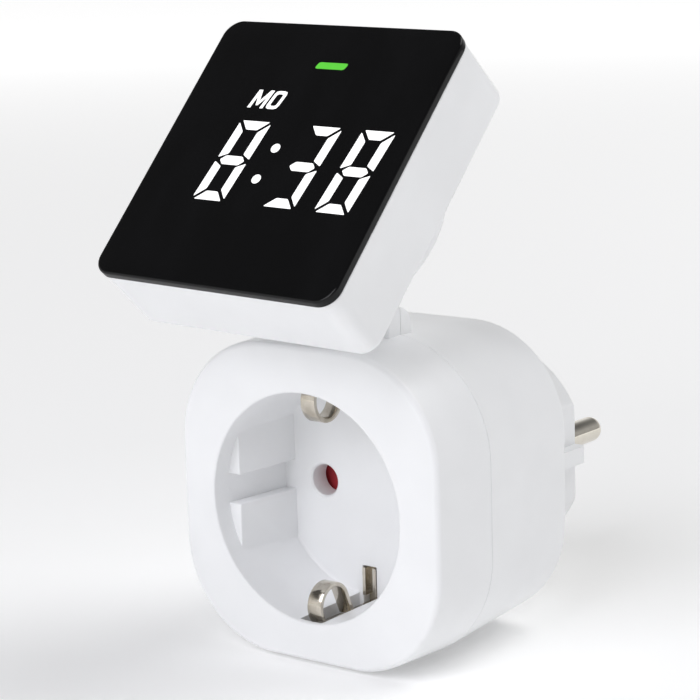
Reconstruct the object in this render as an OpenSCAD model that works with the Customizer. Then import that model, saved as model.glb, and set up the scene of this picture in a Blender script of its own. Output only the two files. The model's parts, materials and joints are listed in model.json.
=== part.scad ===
// Plug-in power meter: a plug-through socket housing with a tilting, turning display on top.
// Frame: X to the right of a person facing the socket, Y towards the wall, Z up.
// Origin: centre of the plug boss's end face, between the two plug pins. Millimetres.

/* [Housing] */
// Width and height of the housing where its two shells meet
housing_size = 56; // [55:0.5:58]
// Width and height of the front face's outline
front_size = 54.5; // [54:0.1:55]
// Width and height of the rear face
rear_size = 53; // [52.5:0.1:54]
// Depth of the front shell
front_depth = 14; // [13.5:0.1:14.5]
// Depth of the rear shell
rear_depth = 26; // [25.5:0.1:27]
// How far the middle of the front face stands proud of its outline
face_crown = 0.6; // [0.4:0.1:0.8]
// How far the housing's centre lies above the socket's axis
housing_rise = 0.4; // [0:0.1:0.6]

/* [Socket] */
// Radius of the socket recess behind its rim
recess_r = 19.8; // [19.7:0.05:19.9]
// Depth of the socket recess
recess_depth = 17.5; // [17:0.1:17.8]
// Distance between the two pin axes
pin_spacing = 19; // [18.8:0.1:19.2]
// Radius of the pin holes in the recess floor
pin_hole_r = 2.8; // [2.6:0.1:2.9]
// Half the gap between the two guide ribs, at their front
rib_x = 17; // [16.6:0.1:17.2]
// Half the gap between the two guide ribs, at the recess floor
rib_floor_x = 15.9; // [15.8:0.1:16.2]

/* [Plug] */
// Depth of the plug boss behind the housing
boss_depth = 17; // [16.5:0.1:17.5]
// Radius of the plug boss
boss_r = 19.4; // [19.2:0.1:19.5]
// Radius of the plug pins
pin_r = 2.4; // [2.3:0.05:2.45]
// Length of the plug pins beyond the boss
pin_length = 19; // [18:0.5:20]

/* [Display head] */
// Width of the display head's front panel
head_w = 50.5; // [50:0.1:51]
// Height of the display head's front panel
head_h = 52.6; // [52:0.1:53]
// Depth of the display head
head_d = 15.5; // [15.3:0.1:16]
// Radius of the display head's corners
head_r = 3.3; // [3:0.1:4]
// Thickness of the front panel
panel_t = 1.6; // [1.5:0.1:1.8]
// Angle between the display panel and the upright at rest
head_tilt = 42.5; // [41:0.5:46]
// Turn of the display head on its swivel at rest
head_turn = -1.9; // [-5:0.1:5]
// Radius of the swivel cup behind the display head
cup_r = 20; // [18:0.5:20]

/* [Hidden] */
$fn = 64;
EPS = 0.1;

// Depths along Y
rear_y = -boss_depth;
seam_y = rear_y - rear_depth;
front_y = seam_y - front_depth;
rim_y = front_y - face_crown;
floor_y = rim_y + recess_depth;
floor_t = 4;
floor_back_y = floor_y + floor_t;

// Housing walls
seam_r = 19.9;
edge_r = 18.4;
cavity_front_size = housing_size - 4.4;
cavity_rear_size = rear_size - 3.4;
cavity_r = 17;
face_t = 2.2;
rear_t = 2;
well_wall = 1.6;
rim_edge = 0.3;
recess_taper = 0.25;
well_r = recess_r + well_wall;
rib_front_y = rim_y + 3.6;
groove_x = 19.7;
groove_floor_x = 18.2;
groove_half = 2.6;
groove_z = 0.3;
cavity_step_y = seam_y + 11;
cavity_back_y = rear_y - rear_t;
// Steps of the rounded edges: distance from the face, inset of the outline
face_edge = [[0, 6.2], [0.12, 3.6], [0.32, 1.8], [0.6, 0.7], [0.85, 0.25], [1.2, 0.05], [1.6, 0]];
rear_edge = [[0, 1.6], [0.3, 0.8], [0.9, 0.2], [1.8, 0]];

// Assembly screws of the housing, near its four corners
screw_at = 18.05;
screw_tube_r = 3;
screw_hole_r = 1.5;
screw_head_r = 2.5;
screw_pocket_y = rear_y - 9;

// Contacts and earth clips
pin_x = pin_spacing / 2;
clip_w = 3;
clip_t = 0.8;
clip_arch_r = 3.95;
clip_y = rim_y + 5.7;
clip_z = 17.9;
// How far the arch's rear leg leans back, and the gap between its free end and the strip
clip_lean = 24;
clip_gap = 0.25;
clip_slot_y = rim_y + 1;
clip_slot_z = 18;
clip_slot_half = 2.4;
clip_slot_top = 23.8;
channel_wall = 1.2;
channel_top = 25.6;
clip_root_y = floor_y - 0.5;
strip_z = clip_z + clip_arch_r - clip_t;
strip_w = 2.8;
floor_slot_w = 3;
floor_slot_z = 14.2;
bar_y = -29.7;
// The folded plate in each floor slot
plate_t = 0.6;
plate_z = floor_slot_z + 0.3;
plate_top = 19.5;

// Shutter and contact carrier
shutter_y = floor_back_y + 1.3;
shutter_t = 1.5;
shutter_r = 13.4;
shutter_w = 7.8;
post_r = 1.5;
carrier_y = floor_back_y + 3;
carrier_t = 3;
contact_r = 3.4;

// Circuit board in the housing
board_y = -20.9;
board_t = 1.5;

// Flats at the sides of the plug boss, with a guide tab between them
flat_x = 17;
flat_half = 11;
tab_half = 1.55;

// Plug earth strap
strap_y = -15;
strap_w = 4.6;

// Hinge on top of the housing
hinge_y = seam_y;
hinge_z = 29.5;
hinge_pin_r = 1.5;
hinge_pin_half = 9.8;
lug_r = 3.4;
lug_in = 5.2;
lug_out = 10.2;
knuckle_r = 3.3;
knuckle_half = 4.7;

// Display head: the panel's front centre, and the swivel on the same axis
head_y = front_y - 4.54;
head_z = 60.29;
case_w = head_w - 0.3;
case_h = head_h - 0.4;
case_wall = 1.8;
hub_r = 8;
hub_bore_r = 4.3;
cup_back = -head_d - 8;
cup_front = -head_d - 0.3;
ring_n = -head_d + 2.5;
head_screw_x = 20;
head_screw_y = 21;
button_x = [-12, 0, 12];
button_n = -10.2;
light_t = 0.45;
board_top = -7.4;
board_back = -8.6;
module_top = -3.5;

// Seven-segment digits: centres, height, slope and stroke
digit_x = [-8.2, 6.7, 17.5];
digit_lit = ["abcdefg", "abcdg", "abcdefg"];
digit_y = -2.3;
digit_w = 6.7;
digit_h = 16;
slope = 0.096;
stroke = 1.75;
bar_cut = 0.45;
bar_gap = 0.42;
bar_easing = 0.22;
colon_r = 0.88;

white = [0.92, 0.93, 0.94];
nickel = [0.72, 0.68, 0.6];
brass = [0.8, 0.65, 0.3];
board_green = [0.1, 0.35, 0.2];
black = [0.07, 0.07, 0.075];

// ---- Helpers ----

// A rounded rectangle in the drawing plane
module rounded(w, h, r) {
    square([w - 2 * r, h], center = true);
    square([w, h - 2 * r], center = true);
    for (x = [-1, 1], y = [-1, 1])
        translate([x * (w / 2 - r), y * (h / 2 - r)])
            circle(r);
}

// Extrudes an X-Z outline from y0 to y1
module along_y(y0, y1) {
    translate([0, y1, 0])
        rotate([90, 0, 0])
            linear_extrude(y1 - y0)
                children();
}

// Extrudes a Y-Z outline from x0 to x1
module along_x(x0, x1) {
    translate([x0, 0, 0])
        rotate([90, 0, 90])
            linear_extrude(x1 - x0)
                children();
}

module housing_outline(size, r) {
    translate([0, housing_rise])
        rounded(size, size, r);
}

module at_pins() {
    for (x = [-pin_x, pin_x])
        translate([x, 0, 0])
            children();
}

module at_screws() {
    for (x = [-screw_at, screw_at], z = [-screw_at, screw_at])
        translate([x, 0, z + housing_rise])
            children();
}

module rod_y(r, y0, y1) {
    translate([0, y1, 0])
        rotate([90, 0, 0])
            cylinder(r = r, h = y1 - y0);
}

module rod_x(r, x0, x1) {
    translate([x0, 0, 0])
        rotate([0, 90, 0])
            cylinder(r = r, h = x1 - x0);
}

module block(low, high) {
    translate(low)
        cube(high - low);
}

// A round lead through a list of points
module lead(points, r) {
    for (i = [0 : len(points) - 2])
        hull()
            for (p = [points[i], points[i + 1]])
                translate(p)
                    sphere(r, $fn = 12);
}

// Head frame: X across the panel, Y up the panel, Z out of its face
module on_head() {
    translate([0, head_y, head_z])
        rotate([90 - head_tilt, 0, 0])
            children();
}

module on_turned_head() {
    on_head()
        rotate([0, 0, head_turn])
            children();
}

module at_head_screws() {
    for (x = [-head_screw_x, head_screw_x], y = [-head_screw_y, head_screw_y])
        translate([x, y, 0])
            children();
}

// ---- Housing ----

module front_skin() {
    hull() {
        for (e = face_edge)
            along_y(rim_y + e[0], rim_y + e[0] + 0.02)
                housing_outline(front_size - 2 * e[1], edge_r - e[1], $fn = 32);
        along_y(seam_y - 0.02, seam_y)
            housing_outline(housing_size, seam_r, $fn = 32);
    }
}

module rear_skin() {
    hull() {
        along_y(seam_y, seam_y + 0.02)
            housing_outline(housing_size, seam_r, $fn = 32);
        for (e = rear_edge)
            along_y(rear_y - e[0] - 0.02, rear_y - e[0])
                housing_outline(rear_size - 2 * e[1], edge_r - e[1], $fn = 32);
    }
}

// The two hinge lugs on top of the housing, solid
module lugs() {
    for (side = [-1, 1])
        scale([side, 1, 1])
            along_x(lug_in, lug_out) {
                translate([hinge_y, hinge_z])
                    circle(lug_r);
                translate([hinge_y - lug_r, hinge_z - 4])
                    square([2 * lug_r, 4]);
            }
}

// What the hinge takes out of both shells: the knuckle's pocket and the pin's bore
module hinge_space() {
    translate([0, hinge_y, hinge_z]) {
        rod_x(knuckle_r + 0.4, -lug_in, lug_in);
        rod_x(hinge_pin_r + 0.05, -hinge_pin_half - EPS, hinge_pin_half + EPS);
    }
}

// A block across the recess whose half width changes from the ribs' front to the floor
module across(front_x, floor_x, half, z) {
    translate([0, 0, z - half])
        linear_extrude(2 * half)
            polygon([[-front_x, rib_front_y - EPS], [front_x, rib_front_y - EPS],
                     [floor_x, floor_y + 2 * EPS], [-floor_x, floor_y + 2 * EPS]]);
}

// The two guide ribs at the sides of the recess, thicker towards the floor, each with a groove
module guide_ribs() {
    difference() {
        rod_y(recess_r + 0.3, rib_front_y, floor_y + EPS);
        across(rib_x, rib_floor_x, recess_r + 1, 0);
        across(groove_x, groove_floor_x, groove_half, groove_z);
    }
}

// The recess bore, a little narrower at its floor
module recess_bore() {
    translate([0, floor_y, 0])
        rotate([90, 0, 0])
            cylinder(r1 = recess_r - recess_taper, r2 = recess_r, h = recess_depth + 1);
}

module front_shell() {
    color(white)
        difference() {
            union() {
                difference() {
                    front_skin();
                    along_y(rim_y + face_t, seam_y + EPS)
                        housing_outline(cavity_front_size, cavity_r);
                }
                rod_y(well_r, rim_y + 1, floor_back_y);
                for (side = [-1, 1])
                    scale([1, 1, side])
                        block([-clip_slot_half - channel_wall, rim_y + face_t - EPS, recess_r],
                              [clip_slot_half + channel_wall, floor_back_y, channel_top]);
                rod_y(post_r, floor_back_y - EPS, carrier_y - 0.05);
                at_screws()
                    rod_y(screw_tube_r, rim_y + face_t - EPS, seam_y);
                intersection() {
                    lugs();
                    block([-20, seam_y - 10, 0], [20, seam_y, 40]);
                }
            }
            difference() {
                recess_bore();
                guide_ribs();
            }
            translate([0, rim_y + rim_edge, 0])
                rotate([90, 0, 0])
                    cylinder(r1 = recess_r - EPS, r2 = recess_r + rim_edge, h = rim_edge + EPS);
            at_pins()
                rod_y(pin_hole_r, floor_y - EPS, floor_back_y + EPS);
            for (side = [-1, 1])
                scale([1, 1, side]) {
                    block([-clip_slot_half, clip_slot_y, clip_slot_z],
                          [clip_slot_half, floor_y, clip_slot_top]);
                    block([-floor_slot_w / 2, floor_y - EPS, floor_slot_z],
                          [floor_slot_w / 2, floor_back_y + EPS, strip_z + 2 * clip_t]);
                }
            at_screws()
                rod_y(1.1, rim_y + 5, seam_y + EPS);
            hinge_space();
        }
}

module boss_outline(r, flat_x) {
    intersection() {
        circle(r);
        square([2 * flat_x, 2 * r + 1], center = true);
    }
}

module rear_shell() {
    color(white)
        difference() {
            union() {
                difference() {
                    rear_skin();
                    along_y(seam_y - EPS, cavity_step_y)
                        housing_outline(cavity_front_size, cavity_r);
                    along_y(cavity_step_y - EPS, cavity_back_y)
                        housing_outline(cavity_rear_size, 16.4);
                }
                rod_y(boss_r, rear_y - 1, 0);
                at_screws()
                    rod_y(screw_tube_r + 0.3, seam_y + EPS, rear_y - 1);
                for (p = [[-20, 0.4], [20, 0.4]])
                    translate([p[0], 0, p[1]])
                        rod_y(2, board_y + board_t, cavity_back_y + EPS);
                intersection() {
                    lugs();
                    block([-20, seam_y, 0], [20, seam_y + 10, 40]);
                }
            }
            for (side = [-1, 1])
                scale([side, 1, 1]) {
                    block([flat_x, rear_y, -flat_half], [boss_r + 1, EPS, -tab_half]);
                    block([flat_x, rear_y, tab_half], [boss_r + 1, EPS, flat_half]);
                }
            along_y(cavity_back_y - EPS, -2.5)
                boss_outline(16, 15);
            at_pins()
                rod_y(pin_r + 0.05, -3, EPS);
            for (side = [-1, 1])
                scale([1, 1, side]) {
                    block([-2.5, strap_y - 0.2, 17.9], [2.5, EPS, boss_r + 1]);
                    block([-2.5, strap_y - 0.2, 15], [2.5, strap_y + 0.9, 18]);
                }
            at_screws() {
                rod_y(screw_hole_r + 0.1, seam_y - EPS, rear_y);
                rod_y(screw_head_r + 0.15, screw_pocket_y, rear_y + 1);
            }
            hinge_space();
        }
}

module housing_screws() {
    color("silver")
        at_screws()
            difference() {
                union() {
                    rod_y(screw_head_r, screw_pocket_y, screw_pocket_y + 1.8);
                    rod_y(screw_hole_r, seam_y, screw_pocket_y);
                    rod_y(1.05, seam_y - 7, seam_y);
                }
                for (turn = [0, 90])
                    rotate([0, turn, 0])
                        block([-1.5, screw_pocket_y + 0.9, -0.3], [1.5, screw_pocket_y + 2, 0.3]);
            }
}

// ---- Socket side ----

module shutter() {
    color([0.75, 0.16, 0.16])
        difference() {
            along_y(shutter_y, shutter_y + shutter_t) {
                circle(4.4);
                intersection() {
                    circle(shutter_r);
                    square([2 * shutter_r, shutter_w], center = true);
                }
            }
            rod_y(post_r + 0.08, shutter_y - 1, shutter_y + shutter_t + 1);
        }
}

module shutter_spring() {
    color("silver") {
        for (turn = [0, 1, 2])
            translate([0, carrier_y + 0.3 + turn * 0.5, 0])
                rotate([90, 0, 0])
                    rotate_extrude()
                        translate([2.9, 0])
                            circle(0.26, $fn = 16);
        translate([2.9, carrier_y + 0.3, 0])
            rod_y(0.2, 0, 1, $fn = 16);
    }
}

module contact_carrier() {
    color([0.85, 0.84, 0.8])
        difference() {
            union() {
                rod_y(16, carrier_y, carrier_y + carrier_t);
                for (turn = [40, 140, 220, 320])
                    rotate([0, turn, 0])
                        translate([14.9, 0, 0])
                            rod_y(1.2, floor_back_y, carrier_y + EPS);
            }
            at_pins()
                rod_y(contact_r + 0.1, carrier_y - EPS, carrier_y + carrier_t + EPS);
            rod_y(3.6, carrier_y - EPS, carrier_y + 1.8);
        }
}

// A sprung socket contact around one pin axis, slit along its length
module socket_contact(x) {
    back_y = -24;
    color(brass)
        translate([x, 0, 0])
            difference() {
                union() {
                    rod_y(contact_r, carrier_y + 0.2, back_y);
                    block([-1, back_y - 1, 2.5], [1, board_y, 3.2]);
                }
                rod_y(pin_r + 0.05, carrier_y - 1, back_y + 5);
                block([-0.4, carrier_y - 1, -contact_r - 1], [0.4, back_y - 4, 0]);
            }
}

module line_contact() {
    socket_contact(pin_x);
}

module neutral_contact() {
    socket_contact(-pin_x);
}

// A point on a circle of radius r
function ray(r, angle) = [r * cos(angle), r * sin(angle)];

// A sprung earth clip: a strip from its root to the front, curled up and back over itself as an arch
module earth_clip() {
    inner_r = clip_arch_r - clip_t;
    steps = 28;
    turns = [for (i = [0 : steps]) 90 + i * (270 - clip_lean) / steps];
    leg = (inner_r - clip_gap + clip_arch_r * sin(clip_lean)) / cos(clip_lean) - clip_t * tan(clip_lean);
    leg_end = leg * [sin(clip_lean), cos(clip_lean)];
    root = clip_root_y - clip_t / 2 - clip_y;
    color(nickel)
        translate([0, clip_y, clip_z])
            along_x(-clip_w / 2, clip_w / 2) {
                polygon(concat(
                    [[root, clip_arch_r]],
                    [for (a = turns) ray(clip_arch_r, a)],
                    [ray(clip_arch_r, -clip_lean) + leg_end, ray(inner_r, -clip_lean) + leg_end],
                    [for (i = [steps : -1 : 0]) ray(inner_r, turns[i])],
                    [[root, inner_r]]));
                translate([root, inner_r + clip_t / 2])
                    circle(clip_t / 2);
            }
}

module earth_clip_upper() {
    earth_clip();
}

module earth_clip_lower() {
    mirror([0, 0, 1])
        earth_clip();
}

// The bar between the two clips' roots, with a folded plate in each floor slot
module earth_bridge() {
    half = strip_w / 2;
    fold_y = floor_y + 1.6;
    top = strip_z + clip_t;
    color(nickel) {
        for (side = [-1, 1])
            scale([1, 1, side]) {
                block([-half, clip_root_y, strip_z], [half, bar_y + clip_t, top]);
                block([-half, fold_y, plate_z], [half, fold_y + plate_t, top]);
                for (x = [-half, half - plate_t])
                    block([x, floor_y - 0.3, plate_z], [x + plate_t, fold_y + plate_t / 2, plate_top]);
            }
        block([-half, bar_y, -top], [half, bar_y + clip_t, top]);
        block([-half, bar_y, -clip_t / 2], [half, strap_y, clip_t / 2]);
    }
}

// ---- Plug side ----

module plug_earth_strap() {
    half = strap_w / 2;
    outer = boss_r - 0.25;
    color(nickel) {
        block([-half, strap_y, -outer], [half, strap_y + 0.8, outer]);
        for (side = [-1, 1])
            scale([1, 1, side])
                block([-half, strap_y, outer - 0.8], [half, -1, outer]);
    }
}

// A plug pin: tail, shoulder, neck through the boss, and the round-tipped shank
module plug_pin(x) {
    tip = [for (a = [0 : 10 : 90]) [pin_r * cos(a), pin_length - pin_r + pin_r * sin(a)]];
    color([0.78, 0.78, 0.8])
        translate([x, 0, 0])
            rotate([-90, 0, 0])
                rotate_extrude()
                    polygon(concat(
                        [[0, board_y + board_t], [1.5, board_y + board_t], [1.5, -4.4], [3.6, -4.4],
                         [3.6, -2.6], [2.2, -2.6], [2.2, 0], [pin_r, 0]],
                        tip));
}

module line_pin() {
    plug_pin(pin_x);
}

module neutral_pin() {
    plug_pin(-pin_x);
}

module pin_carrier() {
    color([0.85, 0.84, 0.8])
        difference() {
            along_y(-8, -4.5)
                boss_outline(15.7, 14.7);
            at_pins()
                rod_y(1.6, -9, -4);
        }
}

// ---- Housing electronics ----

module power_board() {
    color(board_green)
        difference() {
            along_y(board_y, board_y + board_t)
                housing_outline(46, 14);
            at_screws()
                rod_y(screw_tube_r + 0.8, board_y - 1, board_y + board_t + 1);
            block([-strip_w, board_y - 1, -1.5], [strip_w, board_y + board_t + 1, 1.5]);
        }
}

module dropper_capacitor() {
    color([0.75, 0.6, 0.15])
        block([-9, board_y - 7.5, 16.4], [9, board_y, 23.4]);
}

module smoothing_capacitor() {
    color([0.12, 0.14, 0.3])
        translate([-19.6, 0, -5])
            rod_y(4, board_y - 8.6, board_y);
}

module varistor() {
    color([0.15, 0.3, 0.6])
        translate([0, board_y - 4.7, 6])
            rod_x(4.6, 18.1, 21.5);
}

// The current shunt: a bent resistance strip between the line pin and the line contact
module shunt() {
    bridge_y = board_y - 5;
    color([0.6, 0.5, 0.42])
        translate([0, 0, -12]) {
            block([5, bridge_y, -1.2], [14, bridge_y + 0.8, 1.2]);
            for (x = [5, 13])
                block([x, bridge_y + 0.5, -1.2], [x + 1, board_y, 1.2]);
        }
}

module metering_chip() {
    color(black)
        block([-10, board_y - 1.6, -17.5], [-4, board_y, -12.5]);
}

module board_header() {
    color("ivory")
        block([-15, board_y - 6, 9], [-7, board_y, 14]);
}

module base_leads() {
    color([0.25, 0.25, 0.28])
        lead([[-11, board_y - 7, 11.5], [-11.2, -29, 17], [-10.6, -32, 23.2], [-7, -40, 24.2],
              [-5.2, -42.8, 24.3]], 0.9);
}

// ---- Hinge ----

module hinge_pin() {
    color("silver")
        translate([0, hinge_y, hinge_z])
            rod_x(hinge_pin_r, -hinge_pin_half, hinge_pin_half);
}

module hinge_washers() {
    color("silver")
        translate([0, hinge_y, hinge_z])
            for (side = [-1, 1])
                scale([side, 1, 1])
                    difference() {
                        rod_x(3, knuckle_half + 0.1, lug_in - 0.1);
                        rod_x(hinge_pin_r + 0.1, knuckle_half, lug_in);
                    }
}

// ---- Swivel arm: cup behind the head, neck and hinge knuckle ----

module swivel_arm() {
    round_r = 2.5;
    arc = [for (a = [0 : 15 : 90])
        [cup_r - round_r + round_r * sin(a), cup_back + round_r - round_r * cos(a)]];
    tilt = 90 - head_tilt;
    // The hinge axis in the head frame
    hinge_up = (hinge_y - head_y) * cos(tilt) + (hinge_z - head_z) * sin(tilt);
    hinge_out = -(hinge_y - head_y) * sin(tilt) + (hinge_z - head_z) * cos(tilt);
    channel = 1.8;
    cup_floor = cup_back + 1.8;
    cup_in_r = cup_r - 1.6;
    color(white)
        difference() {
            union() {
                on_head() {
                    rotate_extrude()
                        polygon(concat(
                            [[0, cup_floor], [0, cup_back]], arc,
                            [[cup_r, cup_front], [cup_in_r, cup_front], [cup_in_r, cup_floor],
                             [hub_r, cup_floor], [hub_r, ring_n], [hub_bore_r, ring_n],
                             [hub_bore_r, cup_floor]]));
                    along_x(-knuckle_half, knuckle_half)
                        polygon([[hinge_up - 4.2, cup_back + 0.5], [hinge_up - 2.4, hinge_out],
                                 [hinge_up + 2.4, hinge_out], [hinge_up + 5.2, cup_back + 0.5]]);
                }
                translate([0, hinge_y, hinge_z])
                    rod_x(knuckle_r, -knuckle_half, knuckle_half);
            }
            on_head() {
                block([-channel, hinge_up + 1.6, hinge_out - 1], [channel, -3.5, cup_back + 6]);
                for (turn = [90, 210, 330])
                    rotate([0, 0, turn])
                        translate([6.2, 0, ring_n - 5])
                            cylinder(r = 0.75, h = 6);
            }
            translate([0, hinge_y, hinge_z]) {
                rod_x(knuckle_r + 0.5, -channel - 0.3, channel + 0.3);
                rod_x(hinge_pin_r + 0.05, -knuckle_half - 1, knuckle_half + 1);
            }
        }
}

module swivel_ring() {
    color([0.3, 0.3, 0.32])
        on_head()
            translate([0, 0, ring_n])
                difference() {
                    cylinder(r = 11.5, h = 1.2);
                    translate([0, 0, -EPS])
                        cylinder(r = hub_bore_r, h = 2);
                    for (turn = [90, 210, 330])
                        rotate([0, 0, turn])
                            translate([6.2, 0, -EPS])
                                cylinder(r = 0.8, h = 2);
                }
}

module swivel_screws() {
    color("silver")
        on_head()
            for (turn = [90, 210, 330])
                rotate([0, 0, turn])
                    translate([6.2, 0, ring_n + 1.2]) {
                        cylinder(r = 1.3, h = 0.9);
                        translate([0, 0, -5])
                            cylinder(r = 0.7, h = 5.1);
                    }
}

module friction_washer() {
    color([0.2, 0.2, 0.2])
        on_head()
            translate([0, 0, ring_n - 0.55])
                difference() {
                    cylinder(r = 11.2, h = 0.5);
                    translate([0, 0, -EPS])
                        cylinder(r = hub_r + 0.4, h = 1);
                }
}

module arm_leads() {
    color([0.25, 0.25, 0.28])
        on_head()
            lead([[0, -7.2, cup_back - 10], [0, -7.2, cup_back + 0.4], [0, -1, cup_back + 4.2],
                  [0, 0, cup_back + 6.5], [0, 0, ring_n + 0.6]], 0.9);
}

// ---- Display head ----

module case_skin() {
    back = -head_d;
    hull() {
        for (e = [[0, 1], [0.3, 0.35]])
            translate([0, 0, back + e[0]])
                linear_extrude(0.1)
                    rounded(case_w - 2 * e[1], case_h - 2 * e[1], head_r - e[1], $fn = 32);
        translate([0, 0, back + 1])
            linear_extrude(head_d - panel_t - 1)
                rounded(case_w, case_h, head_r, $fn = 32);
    }
}

module head_case() {
    inside = [case_w - 2 * case_wall, case_h - 2 * case_wall];
    back = -head_d;
    color(white)
        on_turned_head()
            difference() {
                union() {
                    difference() {
                        case_skin();
                        translate([0, 0, back + case_wall])
                            linear_extrude(head_d)
                                rounded(inside[0], inside[1], head_r - case_wall);
                    }
                    at_head_screws()
                        translate([0, 0, back + case_wall - EPS])
                            cylinder(r = 3.4, h = 2.8);
                }
                translate([0, 0, back - 1])
                    cylinder(r = hub_r + 0.3, h = 5);
                at_head_screws() {
                    translate([0, 0, back - 1])
                        cylinder(r = 2.5, h = 3.7);
                    translate([0, 0, back])
                        cylinder(r = 1.3, h = 6);
                }
                for (x = button_x)
                    translate([x, case_h / 2, button_n])
                        cube([7.8, 6, 3.4], center = true);
            }
}

module front_panel() {
    color(black)
        on_turned_head()
            difference() {
                hull() {
                    translate([0, 0, -panel_t])
                        linear_extrude(panel_t - 0.35)
                            rounded(head_w, head_h, head_r, $fn = 32);
                    translate([0, 0, -0.02])
                        linear_extrude(0.02)
                            rounded(head_w - 0.7, head_h - 0.7, head_r - 0.35, $fn = 32);
                }
                translate([0, 0, -light_t])
                    linear_extrude(1) {
                        digits();
                        weekday();
                        indicator();
                    }
            }
}

module light_mask() {
    color([0.16, 0.16, 0.17])
        on_turned_head()
            difference() {
                union() {
                    translate([0, 0, -panel_t - 1.8])
                        linear_extrude(1.8)
                            rounded(case_w - 4.2, case_h - 4.2, 1.4);
                    at_head_screws()
                        translate([0, 0, -head_d + 4.6])
                            cylinder(r = 2.2, h = head_d - panel_t - 4.7);
                }
                translate([0, 0, -panel_t - 2]) {
                    linear_extrude(3)
                        translate([0, digit_y])
                            square([44, 18], center = true);
                    linear_extrude(3)
                        translate([-8.3, 10.2])
                            square([9, 4.4], center = true);
                    linear_extrude(3)
                        translate([1.9, 17.7])
                            square([7.6, 2.4], center = true);
                }
                at_head_screws()
                    translate([0, 0, -head_d + 4])
                        cylinder(r = 0.9, h = 7);
            }
}

// A point leaned to the right by a slope
function leaned(p, by = slope) = [p[0] + p[1] * by, p[1]];

// The point at a distance from one point towards another
function towards(a, b, d) = a + (b - a) * d / norm(b - a);

// A polygon's points with each corner eased over a distance
function eased(p, d) = [
    for (i = [0 : len(p) - 1])
        let (before = towards(p[i], p[(i + len(p) - 1) % len(p)], d))
            let (after = towards(p[i], p[(i + 1) % len(p)], d))
                for (q = [before, (before + 2 * p[i] + after) / 4, after]) q
];

// A bar of a digit along X, with mitred ends; side 1 has its long edge up, -1 down
function flat_bar(y, side) =
    let (long = digit_w / 2 - bar_cut, short = long - stroke, y_in = y - side * stroke)
    [[-long, y], [long, y], [short, y_in], [-short, y_in]];

// The upright bar of a digit's upper right quarter
function upright_bar(x, top) =
    let (y = top - bar_cut, x_in = x - stroke)
    [[x, bar_gap], [x, y], [x_in, y - stroke], [x_in, bar_gap + stroke / 2]];

function middle_bar() =
    let (x = digit_w / 2 - 0.75, t = stroke / 2)
    [[-x, 0], [-x + t, t], [x - t, t], [x, 0], [x - t, -t], [-x + t, -t]];

module digit(lit) {
    x = digit_w / 2;
    y = digit_h / 2;
    upright = upright_bar(x, y);
    bars = [
        ["a", flat_bar(y, 1)],
        ["b", upright],
        ["c", [for (p = upright) [p[0], -p[1]]]],
        ["d", flat_bar(-y, -1)],
        ["e", [for (p = upright) [-p[0], -p[1]]]],
        ["f", [for (p = upright) [-p[0], p[1]]]],
        ["g", middle_bar()]
    ];
    for (bar = bars)
        if (len(search(bar[0], lit)) > 0)
            polygon(eased([for (p = bar[1]) leaned(p)], bar_easing));
}

module digits() {
    translate([0, digit_y]) {
        for (i = [0 : len(digit_x) - 1])
            translate([digit_x[i], 0])
                digit(digit_lit[i]);
        for (y = [-3.1, 3.1])
            translate([-0.9 + y * slope, y])
                circle(colon_r, $fn = 32);
    }
}

// Two generic italic capitals for the day of the week, an M and an O
module weekday() {
    lean = 0.2;
    h = 3.7;
    t = 0.64;
    m_w = 3.3;
    o_x = 3.75;
    o_w = 2.6;
    notch = 0.2;
    shoulder = t + 0.1;
    translate([-11.1, 8.35]) {
        polygon([for (p = [[0, 0], [0, h], [shoulder, h], [m_w / 2, 1.5], [m_w - shoulder, h], [m_w, h],
                           [m_w, 0], [m_w - t, 0], [m_w - t, 2.3], [m_w / 2 + notch, 0.55],
                           [m_w / 2 - notch, 0.55], [t, 2.3], [t, 0]])
            leaned(p, lean)]);
        difference() {
            letter_o(o_x, o_w, h, 0, 0.75, lean);
            letter_o(o_x, o_w, h, t, 0.4, lean);
        }
    }
}

// The outline of an O, drawn in from its own edge by inset
module letter_o(x, w, h, inset, easing, lean) {
    low = [x + inset, inset];
    high = [x + w - inset, h - inset];
    polygon(eased([for (p = [low, [high[0], low[1]], high, [low[0], high[1]]]) leaned(p, lean)], easing));
}

module indicator() {
    half = 3.3;
    slant = 0.4;
    half_h = 0.66;
    end_easing = 0.45;
    translate([1.9, 17.7])
        polygon(eased([[-half, -half_h], [half - slant, -half_h], [half, half_h], [slant - half, half_h]],
                      end_easing));
}

module inlay() {
    on_turned_head()
        translate([0, 0, -light_t])
            linear_extrude(light_t)
                children();
}

module digit_lights() {
    color("white")
        inlay()
            digits();
}

module weekday_lights() {
    color("white")
        inlay()
            weekday();
}

module indicator_bar() {
    color([0.35, 0.85, 0.2])
        inlay()
            indicator();
}

module head_block(low, high) {
    on_turned_head()
        block(low, high);
}

module digit_module() {
    color([0.9, 0.9, 0.88])
        head_block([-21.8, -11, board_top], [21.8, 6.4, module_top]);
}

module weekday_module() {
    color([0.9, 0.9, 0.88])
        head_block([-12.6, 8.1, board_top], [-4, 12.3, module_top]);
}

module indicator_led() {
    color([0.85, 0.95, 0.85])
        head_block([-1.8, 16.6, board_top], [5.6, 18.8, module_top]);
}

module display_board() {
    color(board_green)
        on_turned_head()
            difference() {
                translate([0, 0, board_back])
                    linear_extrude(board_top - board_back)
                        rounded(44, 45, 2);
                at_head_screws()
                    translate([0, 0, board_back - 1])
                        cylinder(r = 2.6, h = 4);
            }
}

module head_header() {
    color("ivory")
        head_block([-4, -2, board_back - 2.6], [4, 2, board_back]);
}

module backup_cell() {
    color("silver")
        on_turned_head()
            translate([-13, -10, board_back - 2])
                cylinder(r = 6.25, h = 2);
}

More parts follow.
